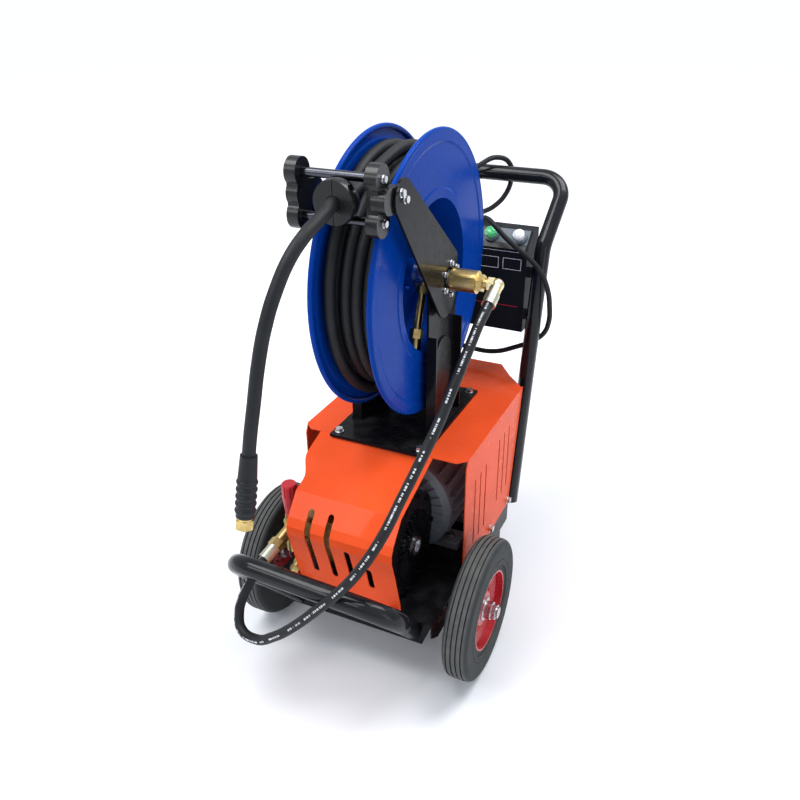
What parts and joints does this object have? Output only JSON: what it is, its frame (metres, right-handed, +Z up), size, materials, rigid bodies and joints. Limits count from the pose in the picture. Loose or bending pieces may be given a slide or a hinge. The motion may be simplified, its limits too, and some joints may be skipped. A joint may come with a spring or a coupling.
{
  "type": "drain jetter",
  "caption": "Wheeled electric drain jetter: motor and plunger pump under a slotted sheet cover, with a hose reel, hose guide, control box and push handle above.",
  "frame": {"origin": "on the ground, in the middle of the trolley's width and of its length from bumper to grip bar", "axes": "+X to the right for someone facing the front, +Y to the back towards the handle, +Z up"},
  "size_m": [0.478, 0.9149, 0.908],
  "materials": {
    "black_paint": "gloss",
    "orange_paint": "gloss",
    "blue_paint": "gloss",
    "red_paint": "gloss",
    "tyre_rubber": "matt",
    "hose_rubber": "matt",
    "zinc_steel": "bright zinc",
    "brass": "plain",
    "grey_cast": "painted dark grey",
    "black_plastic": "satin",
    "red_plastic": "satin",
    "grey_panel": "satin",
    "green_plastic": "gloss",
    "white_plastic": "gloss"
  },
  "bodies": {
    "chassis": {"tray": "black_paint", "bumper": "black_paint", "handle": "black_paint", "rear_legs": "black_paint", "rear_feet": "hose_rubber", "axle": "zinc_steel", "cover": "orange_paint", "bolts": "zinc_steel", "motor_frame": "grey_cast", "motor_front_bell": "grey_cast", "motor_fan_cowl": "black_paint", "pump_crankcase": "black_paint", "pump_case_cover": "black_paint", "oil_sight_glass": "zinc_steel", "pump_head": "brass", "pump_fittings": "brass", "pump_plungers": "zinc_steel", "unloader_body": "brass", "reel_base": "black_paint", "reel_post_left": "black_paint", "reel_post_right": "black_paint", "reel_bearings": "zinc_steel", "swivel": "brass", "swivel_elbow": "zinc_steel", "guide_arm_left": "black_paint", "guide_arm_right": "black_paint", "guide_blocks": "black_plastic", "hose_stop": "black_plastic", "jet_hose": "hose_rubber", "hose_grip": "hose_rubber", "hose_end": "brass", "link_hose": "hose_rubber", "link_ferrules": "zinc_steel", "control_box": "black_paint", "control_panel": "grey_panel", "gland": "black_plastic", "power_cable": "hose_rubber", "cable_coil": "hose_rubber", "plug": "black_plastic"},
    "wheel_left": {"tyre_left": "tyre_rubber", "rim_left": "red_paint", "hub_left": "zinc_steel"},
    "wheel_right": {"tyre_right": "tyre_rubber", "rim_right": "red_paint", "hub_right": "zinc_steel"},
    "reel": {"reel_shaft": "zinc_steel", "reel_flange_left": "blue_paint", "reel_flange_right": "blue_paint", "reel_drum": "blue_paint", "drum_outlet": "brass", "hose_core": "hose_rubber", "hose_winding": "hose_rubber"},
    "motor_shaft": {"motor_rotor": "zinc_steel", "motor_fan": "black_plastic", "pump_crankshaft": "zinc_steel"},
    "top_roller": {"roller_top": "zinc_steel"},
    "bottom_roller": {"roller_bottom": "zinc_steel"},
    "pressure_knob": {"unloader_knob": "red_plastic"},
    "start": {"start_button": "green_plastic"},
    "stop": {"stop_button": "white_plastic"}
  },
  "joints": [
    {"name": "wheel_left_spin", "type": "hinge", "parent": "chassis", "child": "wheel_left", "pos_m": [-0.203, -0.16168, 0.127], "axis": [1, 0, 0], "continuous": true},
    {"name": "wheel_right_spin", "type": "hinge", "parent": "chassis", "child": "wheel_right", "pos_m": [0.203, -0.16168, 0.127], "axis": [1, 0, 0], "continuous": true},
    {"name": "reel_spin", "type": "hinge", "parent": "chassis", "child": "reel", "pos_m": [-0.0035, -0.01868, 0.672], "axis": [1, 0, 0], "continuous": true},
    {"name": "motor_spin", "type": "hinge", "parent": "chassis", "child": "motor_shaft", "pos_m": [0.015, -0.01168, 0.25], "axis": [0, 1, 0], "continuous": true},
    {"name": "roller_top_spin", "type": "hinge", "parent": "chassis", "child": "top_roller", "pos_m": [-0.0085, -0.23368, 0.876], "axis": [1, 0, 0], "continuous": true},
    {"name": "roller_bottom_spin", "type": "hinge", "parent": "chassis", "child": "bottom_roller", "pos_m": [-0.0085, -0.23368, 0.816], "axis": [1, 0, 0], "continuous": true},
    {"name": "pressure_knob_turn", "type": "hinge", "parent": "chassis", "child": "pressure_knob", "pos_m": [-0.126, -0.23768, 0.3], "axis": [0, 0, 1], "range_deg": [0, 720]},
    {"name": "start_press", "type": "slide", "parent": "chassis", "child": "start", "axis": [0, 0.6644, -0.7474], "range_m": [0, 0.004], "stiffness_N_per_m": 400},
    {"name": "stop_press", "type": "slide", "parent": "chassis", "child": "stop", "axis": [0, 0.6644, -0.7474], "range_m": [0, 0.004], "stiffness_N_per_m": 400}
  ]
}
